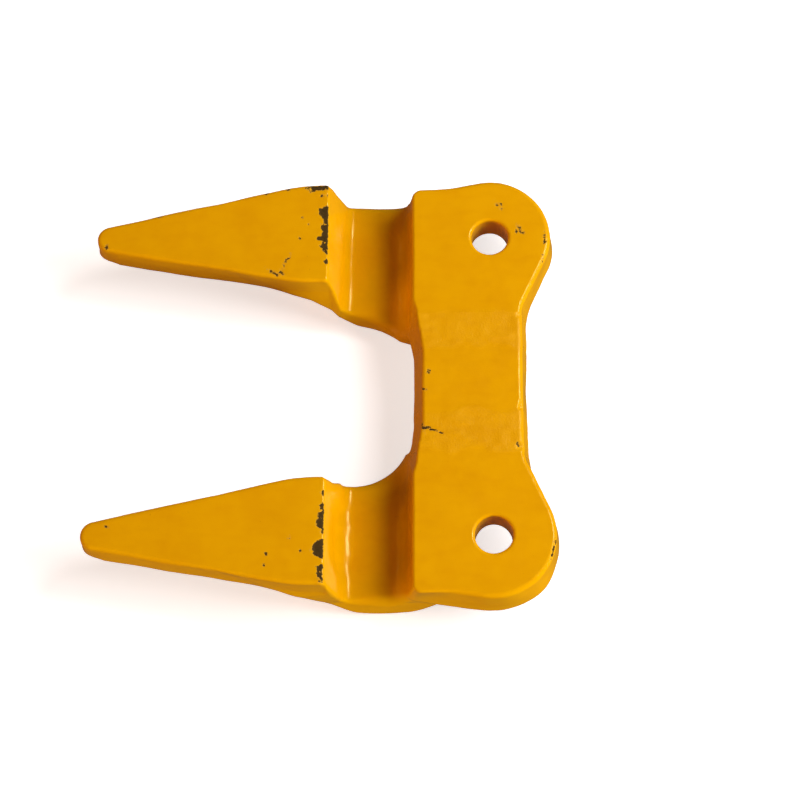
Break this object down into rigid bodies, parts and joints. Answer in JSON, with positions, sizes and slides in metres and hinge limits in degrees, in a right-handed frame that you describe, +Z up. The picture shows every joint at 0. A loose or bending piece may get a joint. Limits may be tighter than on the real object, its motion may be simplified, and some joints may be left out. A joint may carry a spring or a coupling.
{
  "type": "double knife guard",
  "caption": "Double knife guard for a mower or combine cutter bar: flat-topped pointed fingers, each with a rounded knife channel and a drilled pad, joined by a welded tie web.",
  "frame": {"origin": "midway between the two bolt holes, on the top face of the pads", "axes": "+X along the cutter bar, fingers point towards -Y, +Z up out of the pads' top face"},
  "size_m": [0.1082, 0.1139, 0.0203],
  "materials": {
    "finger_paint": "thick gloss enamel over forged steel",
    "web_paint": "gloss enamel over ground weld and plate"
  },
  "bodies": {
    "root": {"left_finger": "finger_paint", "right_finger": "finger_paint", "tie_web": "web_paint", "left_weld": "web_paint", "right_weld": "web_paint"}
  },
  "joints": []
}
